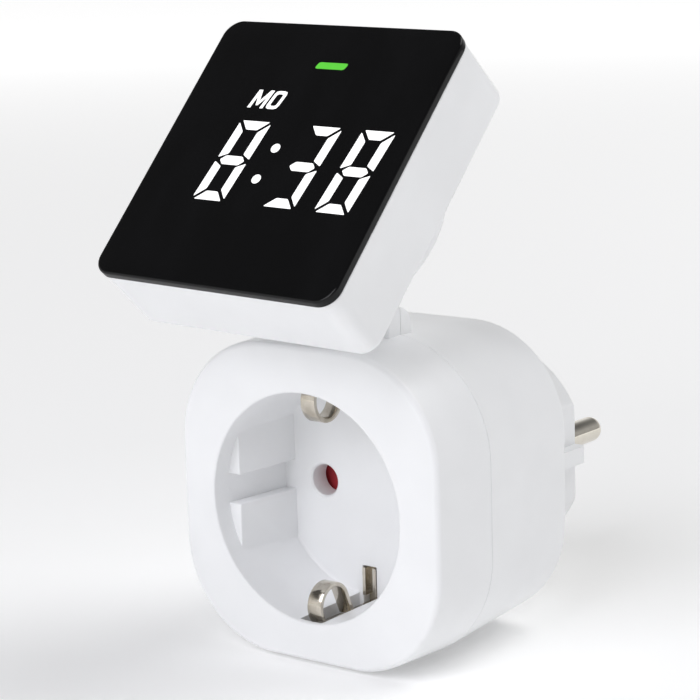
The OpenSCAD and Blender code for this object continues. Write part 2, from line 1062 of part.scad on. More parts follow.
// A push button in the head's top wall: cap, flange behind the wall
module push_button(x) {
    top = case_h / 2 + 0.6;
    wall_in = case_h / 2 - case_wall;
    color([0.86, 0.87, 0.88]) {
        head_block([x - 3.7, wall_in - 0.5, button_n - 1.5], [x + 3.7, top, button_n + 1.5]);
        head_block([x - 4.6, wall_in - 1.2, button_n - 2.2], [x + 4.6, wall_in - 0.1, button_n + 1.4]);
    }
}

module button_left() {
    push_button(button_x[0]);
}

module button_middle() {
    push_button(button_x[1]);
}

module button_right() {
    push_button(button_x[2]);
}

module tact_switches() {
    top = case_h / 2 - case_wall - 1.9;
    color([0.2, 0.2, 0.2])
        for (x = button_x) {
            head_block([x - 3, top - 3.5, board_back - 3.2], [x + 3, top - 0.3, board_back]);
            head_block([x - 1, top - 0.5, board_back - 2.4], [x + 1, top, board_back - 0.8]);
        }
}

module head_screws() {
    color("silver")
        on_turned_head()
            at_head_screws()
                translate([0, 0, -head_d + 2.7])
                    difference() {
                        union() {
                            translate([0, 0, -1.4])
                                cylinder(r = 2.3, h = 1.4);
                            translate([0, 0, -0.1])
                                cylinder(r = 0.85, h = 7);
                        }
                        for (turn = [0, 90])
                            rotate([0, 0, turn])
                                translate([0, 0, -1.4])
                                    cube([2.8, 0.6, 1.4], center = true);
                    }
}

front_shell();
rear_shell();
housing_screws();
shutter();
shutter_spring();
contact_carrier();
line_contact();
neutral_contact();
earth_clip_upper();
earth_clip_lower();
earth_bridge();
plug_earth_strap();
line_pin();
neutral_pin();
pin_carrier();
power_board();
dropper_capacitor();
smoothing_capacitor();
varistor();
shunt();
metering_chip();
board_header();
base_leads();
hinge_pin();
hinge_washers();
swivel_arm();
swivel_ring();
swivel_screws();
friction_washer();
arm_leads();
head_case();
front_panel();
light_mask();
digit_lights();
weekday_lights();
indicator_bar();
digit_module();
weekday_module();
indicator_led();
display_board();
head_header();
backup_cell();
button_left();
button_middle();
button_right();
tact_switches();
head_screws();
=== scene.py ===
"""Looks of the plug-in power meter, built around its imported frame.

Lengths are in millimetres, and MM turns them into metres.
"""
import json
import math

import bmesh
import bpy
from mathutils import Matrix, Vector


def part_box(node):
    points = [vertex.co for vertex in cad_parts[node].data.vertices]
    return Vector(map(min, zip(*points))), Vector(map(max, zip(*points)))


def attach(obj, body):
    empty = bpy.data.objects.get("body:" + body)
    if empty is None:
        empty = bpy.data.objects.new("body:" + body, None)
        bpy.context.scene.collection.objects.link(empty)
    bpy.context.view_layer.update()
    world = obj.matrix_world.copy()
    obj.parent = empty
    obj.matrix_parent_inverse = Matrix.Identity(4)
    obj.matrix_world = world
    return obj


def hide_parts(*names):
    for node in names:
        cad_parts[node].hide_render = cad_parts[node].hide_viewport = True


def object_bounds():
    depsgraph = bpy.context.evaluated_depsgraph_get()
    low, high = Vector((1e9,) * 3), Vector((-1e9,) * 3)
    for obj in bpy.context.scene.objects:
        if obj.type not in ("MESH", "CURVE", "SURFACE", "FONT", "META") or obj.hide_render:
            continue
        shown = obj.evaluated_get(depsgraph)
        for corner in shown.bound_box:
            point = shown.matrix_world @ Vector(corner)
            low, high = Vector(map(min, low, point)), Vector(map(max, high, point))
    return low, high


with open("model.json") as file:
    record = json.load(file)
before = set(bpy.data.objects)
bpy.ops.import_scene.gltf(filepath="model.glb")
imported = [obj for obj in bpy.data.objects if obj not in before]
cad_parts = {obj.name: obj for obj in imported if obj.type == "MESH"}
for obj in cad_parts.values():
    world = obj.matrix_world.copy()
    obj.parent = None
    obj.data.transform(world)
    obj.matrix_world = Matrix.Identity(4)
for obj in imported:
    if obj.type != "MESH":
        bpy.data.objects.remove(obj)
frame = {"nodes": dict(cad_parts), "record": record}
cad_low, cad_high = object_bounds()
NODES = frame["nodes"]
JOINTS = {j["name"]: j for j in frame["record"]["behaviour"]["joints"]}
MM = 0.001

# ---- Camera ----

CAMERA_AT = Vector((237.6, -347.6, 100.0)) * MM
CAMERA_AZIMUTH = math.radians(38.03)
CAMERA_DOWN = math.radians(11.03)
CAMERA_ROLL = math.radians(-1.71)
CAMERA_LENS = 119.03
CAMERA_SENSOR = 36


def make_camera():
    data = bpy.data.cameras.new("camera")
    data.lens = CAMERA_LENS
    data.sensor_width = CAMERA_SENSOR
    camera = bpy.data.objects.new("camera", data)
    bpy.context.scene.collection.objects.link(camera)
    aim = Matrix.Rotation(CAMERA_AZIMUTH, 4, "Z") @ Matrix.Rotation(math.pi / 2 - CAMERA_DOWN, 4, "X")
    aim = aim @ Matrix.Rotation(CAMERA_ROLL, 4, "Z")
    camera.matrix_world = Matrix.Translation(CAMERA_AT) @ aim
    bpy.context.scene.camera = camera


make_camera()

# ---- Sizes, from the frame where it holds them ----

front_low, front_high = (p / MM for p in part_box("front_shell"))
rear_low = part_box("rear_shell")[0] / MM
HOUSING = front_high.x - front_low.x
RISE = rear_low.z + HOUSING / 2
RIM_Y = front_low.y
SEAM_Y = rear_low.y
REAR_DEPTH = 26
REAR_Y = SEAM_Y + REAR_DEPTH
FRONT_SIZE = HOUSING - 1.5
REAR_SIZE = HOUSING - 3
SEAM_R = 19.9
EDGE_R = 18.4
FACE_CROWN = 0.6
FACE_BACK_Y = RIM_Y + 2.2
SEAM_CHAMFER = 0.14
CAVITY = HOUSING - 4.4
CAVITY_R = 17
REAR_CAVITY = REAR_SIZE - 3.4
REAR_CAVITY_R = 16.4
REAR_CAVITY_Y = SEAM_Y + 11
REAR_INNER_Y = REAR_Y - 2

RECESS_R = 19.8
RECESS_FLOOR_R = RECESS_R - 0.25
WELL_R = RECESS_R + 1.6
RECESS_DEPTH = 17.5
FLOOR_T = 4
FLOOR_Y = RIM_Y + RECESS_DEPTH
FLOOR_BACK_Y = FLOOR_Y + FLOOR_T
CENTRE_R = 6
POST_R = 1.5
POST_LENGTH = 2.9
PIN_X = (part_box("line_pin")[0].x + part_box("line_pin")[1].x) / 2 / MM
PIN_HOLE_R = 2.8
RIB_FRONT_Y = RIM_Y + 3.6
RIB_X = 17
RIB_FLOOR_X = 15.9
GROOVE_X = 19.7
GROOVE_FLOOR_X = 18.2
GROOVE_LOW = -2.3
GROOVE_HIGH = 2.9

BOSS_R = 19.4
BOSS_INNER_R = 15
BOSS_END_T = 2.5
FLAT_X = 17
FLAT_HALF = 11
TAB_HALF = 1.55
STRAP_SLOT_Z = 17.9
STRAP_SLOT_HALF = 2.5
STRAP_SLOT_LENGTH = 15.2
PIN_BORE_R = 2.25
PIN_BORE_Y = -3
SCREW_AT = 18.05
SCREW_POST_R = 3.3
SCREW_POCKET_R = 2.65
SCREW_POCKET_Y = REAR_Y - 9
SCREW_HOLE_R = 1.6

HINGE = Vector(JOINTS["display_tilt"]["pos_m"]) / MM
LUG_R = 3.4
LUG_IN = 5.2
LUG_OUT = 10.2
LUG_FOOT = 4
HINGE_PIN_R = 1.55
HINGE_PIN_HALF = 9.9
KNUCKLE_R = 3.3
KNUCKLE_GAP = 0.4
KNUCKLE_HALF = 4.7

clip_low, clip_high = (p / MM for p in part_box("earth_clip_upper"))
CLIP_R = 3.95
CLIP_T = 0.8
CLIP_Y = clip_low.y + CLIP_R
CLIP_Z = clip_low.z + CLIP_R
CLIP_LEAN = 24
CLIP_GAP = 0.25
CLIP_SLOT_Y = RIM_Y + 1
CLIP_SLOT_Z = 18
CLIP_SLOT_HALF = 2.4
CLIP_SLOT_TOP = 23.8
FLOOR_SLOT_HALF = 1.5
FLOOR_SLOT_Z = 14.2
CHANNEL_WALL = 1.2
CHANNEL_TOP = 25.6
CHANNEL_BOTTOM = -25.3

# The head's own axes: across the panel, up the panel and out of its face
HEAD_AT = Vector(JOINTS["display_swivel"]["pos_m"]) / MM
HEAD_OUT = Vector(JOINTS["display_swivel"]["axis"]).normalized()
HEAD_UP = -Vector(JOINTS["button_middle_press"]["axis"]).normalized()
HEAD_RIGHT = HEAD_UP.cross(HEAD_OUT).normalized()
HEAD = Matrix.Translation(HEAD_AT) @ Matrix((HEAD_RIGHT, HEAD_UP, HEAD_OUT)).transposed().to_4x4()
HEAD_W = 50.5
HEAD_H = 52.6
HEAD_D = 15.5
HEAD_R = 3.3
PANEL_T = 1.6
CASE_W = HEAD_W - 0.3
CASE_H = HEAD_H - 0.4
CASE_WALL = 1.8
CASE_HOLE = 16.6
CASE_HOLE_R = 8.29
BUTTON_X = [-12, 0, 12]
BUTTON_N = -10.2
BUTTON_HOLE = (7.8, 3.4, 0.5)
HEAD_SCREW_X = 20
HEAD_SCREW_Y = 21
HEAD_POST_R = 3.4
HEAD_POST_LENGTH = 4.5
HEAD_POCKET_R = 2.5
HEAD_POCKET_DEPTH = 2.7
HEAD_HOLE_R = 1.3
HEAD_HOLE_DEPTH = 6

# The arm's axes: the head's before it turns on the swivel
ARM_UP = Vector((0, HEAD_OUT.z, -HEAD_OUT.y))
ARM = Matrix.Translation(HEAD_AT) @ Matrix((Vector((1, 0, 0)), ARM_UP, HEAD_OUT)).transposed().to_4x4()
CUP_R = 20
CUP_BACK = -HEAD_D - 8
CUP_FRONT = -HEAD_D - 0.3
CUP_FLOOR = CUP_BACK + 1.8
CUP_WALL = 1.6
HUB_R = 8
HUB_BORE_R = 4.3
HUB_TOP = -HEAD_D + 2.5

# How far a cutter reaches past the face it opens
OVER = 0.1
CLEAR = 1

# Edges that turn by more degrees than this stay sharp in the shading
SHARP_ANGLE = 35

# ---- Mesh tools ----


def new_piece(name, verts, faces, place=None):
    """A mesh object from points in millimetres, with its normals outward and shaded smooth below an angle."""
    mesh = bpy.data.meshes.new(name)
    mesh.from_pydata([tuple(v) for v in verts], [], faces)
    mesh.transform(Matrix.Scale(MM, 4) @ (place or Matrix()))
    tidy_mesh(mesh)
    obj = bpy.data.objects.new(name, mesh)
    bpy.context.scene.collection.objects.link(obj)
    return obj


def tidy_mesh(mesh):
    bm = bmesh.new()
    bm.from_mesh(mesh)
    bmesh.ops.remove_doubles(bm, verts=bm.verts, dist=2e-6)
    bmesh.ops.dissolve_degenerate(bm, edges=bm.edges, dist=1e-6)
    bmesh.ops.recalc_face_normals(bm, faces=bm.faces)
    bm.to_mesh(mesh)
    bm.free()
    mesh.shade_smooth()
    mesh.set_sharp_from_angle(angle=math.radians(SHARP_ANGLE))


def loft(rings, cyclic=False):
    """Quads between rings of equal length. Open lofts are capped at both ends."""
    n = len(rings[0])
    verts = [p for ring in rings for p in ring]
    spans = len(rings) if cyclic else len(rings) - 1
    faces = []
    for i in range(spans):
        low, high = i * n, (i + 1) % len(rings) * n
        faces += [(low + j, low + (j + 1) % n, high + (j + 1) % n, high + j) for j in range(n)]
    if not cyclic:
        faces.append(tuple(range(n)))
        faces.append(tuple(range(len(verts) - n, len(verts))))
    return verts, faces


def outline(w, h, r, corner=16, side=6):
    """Points round a rounded rectangle, as (u, v), starting on the right side."""
    points = []
    centres = [(1, 1), (-1, 1), (-1, -1), (1, -1)]
    for k, (sx, sy) in enumerate(centres):
        cx, cy = sx * (w / 2 - r), sy * (h / 2 - r)
        for i in range(corner + 1):
            a = math.radians(90 * k + 90 * i / corner)
            points.append((cx + r * math.cos(a), cy + r * math.sin(a)))
        nx, ny = centres[(k + 1) % 4]
        a = math.radians(90 * (k + 1))
        ex, ey = nx * (w / 2 - r) + r * math.cos(a), ny * (h / 2 - r) + r * math.sin(a)
        bx, by = points[-1]
        points += [(bx + (ex - bx) * i / side, by + (ey - by) * i / side) for i in range(1, side)]
    return points


def solid_from(outline_points, low, high, place=None, name="cutter", flip=None):
    """A straight prism: outline points (a, b) from low to high on the third axis, mapped by flip(a, b, c)."""
    flip = flip or (lambda a, b, c: (a, b, c))
    rings = [[flip(a, b, c) for a, b in outline_points] for c in (low, high)]
    return new_piece(name, *loft(rings), place=place)


def along_y(points, y0, y1, name="cutter"):
    return solid_from(points, y0, y1, name=name, flip=lambda a, b, c: (a, c, b))


def along_x(points, x0, x1, name="cutter"):
    return solid_from(points, x0, x1, name=name, flip=lambda a, b, c: (c, a, b))


def circle(r, steps=48, at=(0, 0)):
    turns = [2 * math.pi * i / steps for i in range(steps)]
    return [(at[0] + r * math.cos(a), at[1] + r * math.sin(a)) for a in turns]


def block(low, high, place=None, name="cutter"):
    (x0, y0, z0), (x1, y1, z1) = low, high
    return solid_from([(x0, y0), (x1, y0), (x1, y1), (x0, y1)], z0, z1, place, name)


def rounded_edges(obj, width, segments=3, angle=30):
    """Rounds a piece's sharp edges for good."""
    m = obj.modifiers.new("round", "BEVEL")
    m.width = width * MM
    m.segments = segments
    m.limit_method = "ANGLE"
    m.angle_limit = math.radians(angle)
    bake_modifiers(obj)
    return obj


def bake_modifiers(obj):
    graph = bpy.context.evaluated_depsgraph_get()
    mesh = bpy.data.meshes.new_from_object(obj.evaluated_get(graph))
    obj.modifiers.clear()
    obj.data = mesh
    tidy_mesh(mesh)


def combine(obj, others, operation):
    """Joins others to a piece or cuts them out of it, and removes them."""
    for other in others:
        m = obj.modifiers.new("solid", "BOOLEAN")
        m.operation = operation
        m.solver = "EXACT"
        m.object = other
        bake_modifiers(obj)
        bpy.data.objects.remove(other)
    return obj


def add(obj, *others):
    return combine(obj, others, "UNION")


def cut(obj, *others):
    return combine(obj, others, "DIFFERENCE")


def fillet(centre, r, start, end, steps=5):
    """Points on an arc in a profile, from one angle to another in degrees."""
    turns = [math.radians(start + (end - start) * i / steps) for i in range(steps + 1)]
    return [(centre[0] + r * math.cos(a), centre[1] + r * math.sin(a)) for a in turns]


# ---- Housing shells ----


def square_ring(size, r, y):
    return [(a, y, b + RISE) for a, b in outline(size, size, r)]


def round_ring(r, y):
    angles = [math.atan2(b, a) for a, b in outline(HOUSING, HOUSING, SEAM_R)]
    return [(r * math.cos(a), y, r * math.sin(a)) for a in angles]


def round_rings(profile):
    return [round_ring(r, y) for r, y in profile]


def mix_ring(inner, outer, t, y):
    return [(a[0] + (b[0] - a[0]) * t, y, a[2] + (b[2] - a[2]) * t) for a, b in zip(inner, outer)]


def crowned_depth(inset, depth, reach, power):
    """How far an edge falls away at an inset: 0 past reach, and depth at the outline itself."""
    u = max(0.0, (reach - inset) / reach)
    return depth * (1 - (1 - u ** power) ** (1 / power))


def edge_insets(reach, steps):
    """Insets from reach down to 0, closer together towards the outline."""
    return [reach * (1 - math.sin(math.pi / 2 * i / steps)) for i in range(1, steps + 1)]


def shell_side(size, r, y_from, y_to, size_to, r_to, steps=4):
    rings = []
    for i in range(steps + 1):
        t = i / steps
        y = y_from + (y_to - y_from) * t
        rings.append(square_ring(size + (size_to - size) * t, r + (r_to - r) * t, y))
    return rings


def make_front_shell():
    """The front cover, lofted from its recess out over the rim and face to the seam and back inside."""
    reach, edge_depth = 1.1, 0.95
    rim_r = 0.35
    corner = 0.4
    wall_shares = (0.33, 0.66)
    rings = round_rings([(CENTRE_R, FLOOR_Y), (RECESS_FLOOR_R - corner, FLOOR_Y)])
    rings += round_rings(fillet((RECESS_FLOOR_R - corner, FLOOR_Y - corner), corner, 60, 0, 3))
    for t in wall_shares:
        y = FLOOR_Y + (RIM_Y + rim_r - FLOOR_Y) * t
        rings.append(round_ring(RECESS_FLOOR_R + (RECESS_R - RECESS_FLOOR_R) * t, y))
    rings += round_rings(fillet((RECESS_R + rim_r, RIM_Y + rim_r), rim_r, 180, 270, 5))
    rim = round_ring(RECESS_R + rim_r, RIM_Y)
    flat = square_ring(FRONT_SIZE - 2 * reach, EDGE_R - reach, RIM_Y)
    face_steps, crown_power = 8, 1.5
    for i in range(1, face_steps + 1):
        t = i / face_steps
        rings.append(mix_ring(rim, flat, t, RIM_Y + FACE_CROWN * t ** crown_power))
    for inset in edge_insets(reach, 10):
        y = RIM_Y + FACE_CROWN + crowned_depth(inset, edge_depth, reach, 2)
        rings.append(square_ring(FRONT_SIZE - 2 * inset, EDGE_R - inset, y))
    side_y = RIM_Y + FACE_CROWN + edge_depth
    rings += shell_side(FRONT_SIZE, EDGE_R, side_y, SEAM_Y - SEAM_CHAMFER, HOUSING, SEAM_R)[1:]
    rings.append(square_ring(HOUSING - 2 * SEAM_CHAMFER, SEAM_R - SEAM_CHAMFER, SEAM_Y))
    rings.append(square_ring(CAVITY, CAVITY_R, SEAM_Y))
    rings.append(square_ring(CAVITY, CAVITY_R, FACE_BACK_Y))
    rings += round_rings([(WELL_R, FACE_BACK_Y), (WELL_R, FLOOR_BACK_Y), (CENTRE_R, FLOOR_BACK_Y)])
    shell = new_piece("front_cover", *loft(rings))
    post = along_y(circle(POST_R), FLOOR_BACK_Y - OVER, FLOOR_BACK_Y + POST_LENGTH)
    add(shell, *guide_ribs(), *slot_channels(), *lug_halves(front=True), post)
    cut(shell, *recess_openings(), *hinge_cutters())
    return shell


def rib_section(side, z_in, y, t):
    """The outline at one depth of a guide rib that starts at height z_in, above or below the groove."""
    outer = RECESS_R + 0.3
    inner = RIB_X + (RIB_FLOOR_X - RIB_X) * t
    up = math.copysign(1, z_in)
    low = math.asin(abs(z_in) / outer)
    top = math.acos(inner / outer)
    steps = 8
    arc = [low + (top - low) * i / steps for i in range(steps + 1)]
    points = [(inner, z_in)] + [(outer * math.cos(a), up * outer * math.sin(a)) for a in arc]
    return [(side * x, y, z) for x, z in points]


def guide_ribs():
    """Two ribs on each side of the recess, thicker towards the floor, and the slanted groove between them."""
    end_y = FLOOR_Y + 0.2
    into_rib = 0.3
    ribs = []
    for side in (-1, 1):
        for z_in in (GROOVE_LOW, GROOVE_HIGH):
            ends = [rib_section(side, z_in, RIB_FRONT_Y, 0), rib_section(side, z_in, end_y, 1)]
            ribs.append(rounded_edges(new_piece("rib", *loft(ends)), 0.25, 3, 40))
        groove = []
        for x, y in ((GROOVE_X, RIB_FRONT_Y + 0.4), (GROOVE_FLOOR_X, end_y)):
            outer = RECESS_R + 0.4
            z_low, z_high = GROOVE_LOW - into_rib, GROOVE_HIGH + into_rib
            corners = [(x, z_low), (outer, z_low), (outer, z_high), (x, z_high)]
            groove.append([(side * a, y, b) for a, b in corners])
        ribs.append(new_piece("rib", *loft(groove)))
    return ribs


def slot_channels():
    """The walls behind the recess that close off the two earth clip slots."""
    half = CLIP_SLOT_HALF + CHANNEL_WALL
    front_y = FACE_BACK_Y - OVER
    return [block((-half, front_y, low), (half, FLOOR_BACK_Y, high))
            for low, high in ((RECESS_R, CHANNEL_TOP), (CHANNEL_BOTTOM, -RECESS_R))]


def lug_halves(front):
    """The two hinge lugs, cut at the seam between the shells."""
    points = fillet((HINGE.y, HINGE.z), LUG_R, 0, 180, 30)
    points += [(HINGE.y - LUG_R, HINGE.z - LUG_FOOT), (HINGE.y + LUG_R, HINGE.z - LUG_FOOT)]
    gap = 0.06
    beyond = 10
    y0, y1 = (SEAM_Y - gap, SEAM_Y + beyond) if front else (SEAM_Y - beyond, SEAM_Y + gap)
    half, top = 2 * beyond, 5 * beyond
    lugs = []
    for side in (-1, 1):
        lug = rounded_edges(along_x(points, side * LUG_IN, side * LUG_OUT, name="lug"), 0.45, 3, 40)
        lugs.append(cut(lug, block((-half, y0, 0), (half, y1, top))))
    return lugs


def hinge_cutters():
    at = (HINGE.y, HINGE.z)
    return [along_x(circle(KNUCKLE_R + KNUCKLE_GAP, at=at), -LUG_IN, LUG_IN),
            along_x(circle(HINGE_PIN_R, at=at), -HINGE_PIN_HALF, HINGE_PIN_HALF)]


def recess_openings():
    """The two pin holes with eased rims, and the slots of the earth clips in the wall and the floor."""
    holes = [along_y(circle(PIN_HOLE_R, at=(x, 0)), FLOOR_Y - CLEAR, FLOOR_BACK_Y + CLEAR)
             for x in (-PIN_X, PIN_X)]
    rim = PIN_HOLE_R + 0.35
    easing = [(rim, FLOOR_Y - OVER), (rim, FLOOR_Y), (PIN_HOLE_R - 0.1, FLOOR_Y + 0.45)]
    for x in (-PIN_X, PIN_X):
        rings = [[(a, y, b) for a, b in circle(r, at=(x, 0))] for r, y in easing]
        holes.append(new_piece("cutter", *loft(rings)))
    floor_slot_top = CLIP_Z + CLIP_R + CLIP_T
    for side in (-1, 1):
        z = sorted((side * CLIP_SLOT_Z, side * CLIP_SLOT_TOP))
        holes.append(block((-CLIP_SLOT_HALF, CLIP_SLOT_Y, z[0]), (CLIP_SLOT_HALF, FLOOR_Y, z[1])))
        z = sorted((side * FLOOR_SLOT_Z, side * floor_slot_top))
        low = (-FLOOR_SLOT_HALF, FLOOR_Y - OVER, z[0])
        holes.append(block(low, (FLOOR_SLOT_HALF, FLOOR_BACK_Y + CLEAR, z[1])))
    return holes


def make_rear_shell():
    """The rear cover, lofted from the boss's end over the back and the side to the seam, and back inside."""
    boss_edge = 0.9
    root = 0.4
    reach, rear_edge, power = 2.4, 1.8, 2.1
    rings = round_rings([(CENTRE_R, 0), (BOSS_R - boss_edge, 0)])
    rings += round_rings(fillet((BOSS_R - boss_edge, -boss_edge), boss_edge, 72, 0, 4))
    rings += round_rings(fillet((BOSS_R + root, REAR_Y + root), root, 180, 270, 3))
    flat = square_ring(REAR_SIZE - 2 * reach, EDGE_R - reach, REAR_Y)
    rings += [mix_ring(round_ring(BOSS_R + root, REAR_Y), flat, t, REAR_Y) for t in (0.5, 1)]
    for inset in edge_insets(reach, 10):
        y = REAR_Y - crowned_depth(inset, rear_edge, reach, power)
        rings.append(square_ring(REAR_SIZE - 2 * inset, EDGE_R - inset, y))
    side_y = REAR_Y - rear_edge
    rings += shell_side(REAR_SIZE, EDGE_R, side_y, SEAM_Y + SEAM_CHAMFER, HOUSING, SEAM_R, 6)[1:]
    rings.append(square_ring(HOUSING - 2 * SEAM_CHAMFER, SEAM_R - SEAM_CHAMFER, SEAM_Y))
    rings.append(square_ring(CAVITY, CAVITY_R, SEAM_Y))
    rings.append(square_ring(REAR_CAVITY, REAR_CAVITY_R, REAR_CAVITY_Y))
    rings.append(square_ring(REAR_CAVITY, REAR_CAVITY_R, REAR_INNER_Y))
    rings += round_rings([(BOSS_INNER_R, REAR_INNER_Y), (BOSS_INNER_R, -BOSS_END_T), (CENTRE_R, -BOSS_END_T)])
    shell = new_piece("rear_cover", *loft(rings))
    add(shell, *lug_halves(front=False))
    posts = [along_y(circle(SCREW_POST_R, 32, at), SEAM_Y + OVER, REAR_Y - CLEAR) for at in screw_places()]
    add(shell, *posts)
    cut(shell, *boss_openings(), *hinge_cutters())
    return shell


def screw_places():
    """Where the four housing screws stand, as (x, z)."""
    return [(sx * SCREW_AT, sz * SCREW_AT + RISE) for sx in (-1, 1) for sz in (-1, 1)]


def boss_openings():
    """The boss's side flats with their guide ribs, earth contact slots, pin bores and the screw pockets."""
    holes = []
    past = BOSS_R + CLEAR
    for side in (-1, 1):
        x = sorted((side * FLAT_X, side * past))
        for z0, z1 in ((-FLAT_HALF, -TAB_HALF), (TAB_HALF, FLAT_HALF)):
            holes.append(block((x[0], REAR_Y, z0), (x[1], OVER, z1)))
        z = sorted((side * STRAP_SLOT_Z, side * past))
        holes.append(block((-STRAP_SLOT_HALF, -STRAP_SLOT_LENGTH, z[0]), (STRAP_SLOT_HALF, OVER, z[1])))
        holes.append(along_y(circle(PIN_BORE_R, at=(side * PIN_X, 0)), PIN_BORE_Y, OVER))
    for at in screw_places():
        holes.append(along_y(circle(SCREW_POCKET_R, at=at), SCREW_POCKET_Y, REAR_Y + CLEAR))
        holes.append(along_y(circle(SCREW_HOLE_R, at=at), SEAM_Y - OVER, SCREW_POCKET_Y + OVER))
    return holes


# ---- Earth clips ----


def clip_path():
    """The clip's middle line as (y, z): the strip from its root, the arch and the leaning rear leg."""
    middle = CLIP_R - CLIP_T / 2
    lean = math.radians(CLIP_LEAN)
    reach = CLIP_R - CLIP_T - CLIP_GAP + CLIP_R * math.sin(lean)
    leg = reach / math.cos(lean) - CLIP_T * math.tan(lean)
    path = [(clip_high.y - CLIP_T / 2, CLIP_Z + middle)]
    path += fillet((CLIP_Y, CLIP_Z), middle, 90, 360 - CLIP_LEAN, 48)
    path.append((path[-1][0] + leg * math.sin(lean), path[-1][1] + leg * math.cos(lean)))
    return path


def make_clip(name, up):
    """A sprung strip with rounded edges along the clip's path, above or below the socket's axis."""
    half_w = clip_high.x
    half_t = CLIP_T / 2
    ease = 0.18
    section = [(half_w, half_t - ease), (half_w - ease / 3, half_t - ease / 3), (half_w - ease, half_t)]
    section += [(-x, n) for x, n in reversed(section)]
    section += [(-x, -n) for x, n in section]
    path = [Vector(p) for p in clip_path()]
    rings = []
    for degrees in (75, 60, 45, 30, 15):
        turn = math.radians(degrees)
        reach, share = half_t * math.sin(turn), math.cos(turn)
        rings.append([(x, path[0].x + reach, up * (path[0].y + n * share)) for x, n in section])
    for i, p in enumerate(path):
        along = (path[min(i + 1, len(path) - 1)] - path[max(i - 1, 0)]).normalized()
        across = Vector((along.y, -along.x))
        rings.append([(x, p.x + across.x * n, up * (p.y + across.y * n)) for x, n in section])
    return new_piece(name, *loft(rings))


# ---- Display head ----


def plate_ring(w, h, r, n):
    return [(a, b, n) for a, b in outline(w, h, r, corner=12, side=8)]


def make_head_case():
    """The white case behind the panel, with its button holes and screw posts."""
    back = -HEAD_D
    front = -PANEL_T
    edge = 1.1
    edge_w, edge_h, edge_r = CASE_W - 2 * edge, CASE_H - 2 * edge, HEAD_R - edge
    rings = []
    for t in (0, 0.5, 1):
        w = CASE_HOLE + (edge_w - CASE_HOLE) * t
        h = CASE_HOLE + (edge_h - CASE_HOLE) * t
        rings.append(plate_ring(w, h, CASE_HOLE_R + (edge_r - CASE_HOLE_R) * t, back))
    edge_steps = 6
    for i in range(1, edge_steps + 1):
        a = math.radians(90 * i / edge_steps)
        inset = edge * (1 - math.sin(a))
        size = (CASE_W - 2 * inset, CASE_H - 2 * inset, HEAD_R - inset)
        rings.append(plate_ring(*size, back + edge * (1 - math.cos(a))))
    lip = 0.15
    rings.append(plate_ring(CASE_W, CASE_H, HEAD_R, back + HEAD_D / 2))
    rings.append(plate_ring(CASE_W, CASE_H, HEAD_R, front - lip))
    rings.append(plate_ring(CASE_W - 2 * lip, CASE_H - 2 * lip, HEAD_R - lip, front))
    inner = (CASE_W - 2 * CASE_WALL, CASE_H - 2 * CASE_WALL, HEAD_R - CASE_WALL)
    rings.append(plate_ring(*inner, front))
    rings.append(plate_ring(*inner, back + CASE_WALL))
    rings.append(plate_ring(CASE_HOLE, CASE_HOLE, CASE_HOLE_R, back + CASE_WALL))
    case = new_piece("display_case", *loft(rings, cyclic=True), place=HEAD)
    screws = [(sx * HEAD_SCREW_X, sy * HEAD_SCREW_Y) for sx in (-1, 1) for sy in (-1, 1)]
    post_low, post_high = back + CASE_WALL - OVER, back + HEAD_POST_LENGTH
    add(case, *[solid_from(circle(HEAD_POST_R, 32, at), post_low, post_high, HEAD) for at in screws])
    holes = []
    through = 3
    for x in BUTTON_X:
        hole = [(x + a, BUTTON_N + b) for a, b in outline(*BUTTON_HOLE, 5, 1)]
        ends = (CASE_H / 2 - through, CASE_H / 2 + through)
        holes.append(solid_from(hole, *ends, HEAD, flip=lambda a, b, c: (a, c, b)))
    pocket_top = back + HEAD_POCKET_DEPTH
    for at in screws:
        holes.append(solid_from(circle(HEAD_POCKET_R, 40, at), back - CLEAR, pocket_top, HEAD))
        holes.append(solid_from(circle(HEAD_HOLE_R, 32, at), pocket_top - OVER, back + HEAD_HOLE_DEPTH, HEAD))
    cut(case, *holes)
    return case


def make_front_panel():
    """The black window: a plate with a polished bevel round its front edge."""
    face = -0.03
    bevel = 0.4
    bevel_steps = 4
    back_ease = 0.15
    w, h = HEAD_W - 0.08, HEAD_H - 0.08
    centre = (w - 8, h - 8, 1)
    rings = [plate_ring(*centre, -PANEL_T)]
    rings.append(plate_ring(w - 2 * back_ease, h - 2 * back_ease, HEAD_R - back_ease, -PANEL_T))
    rings.append(plate_ring(w, h, HEAD_R, -PANEL_T + back_ease))
    for i in range(bevel_steps + 1):
        a = math.radians(90 * i / bevel_steps)
        inset = bevel * (1 - math.cos(a))
        size = (w - 2 * inset, h - 2 * inset, HEAD_R - inset)
        rings.append(plate_ring(*size, face - bevel * (1 - math.sin(a))))
    rings.append(plate_ring(*centre, face))
    return new_piece("display_window", *loft(rings), place=HEAD)


# ---- Arm ----


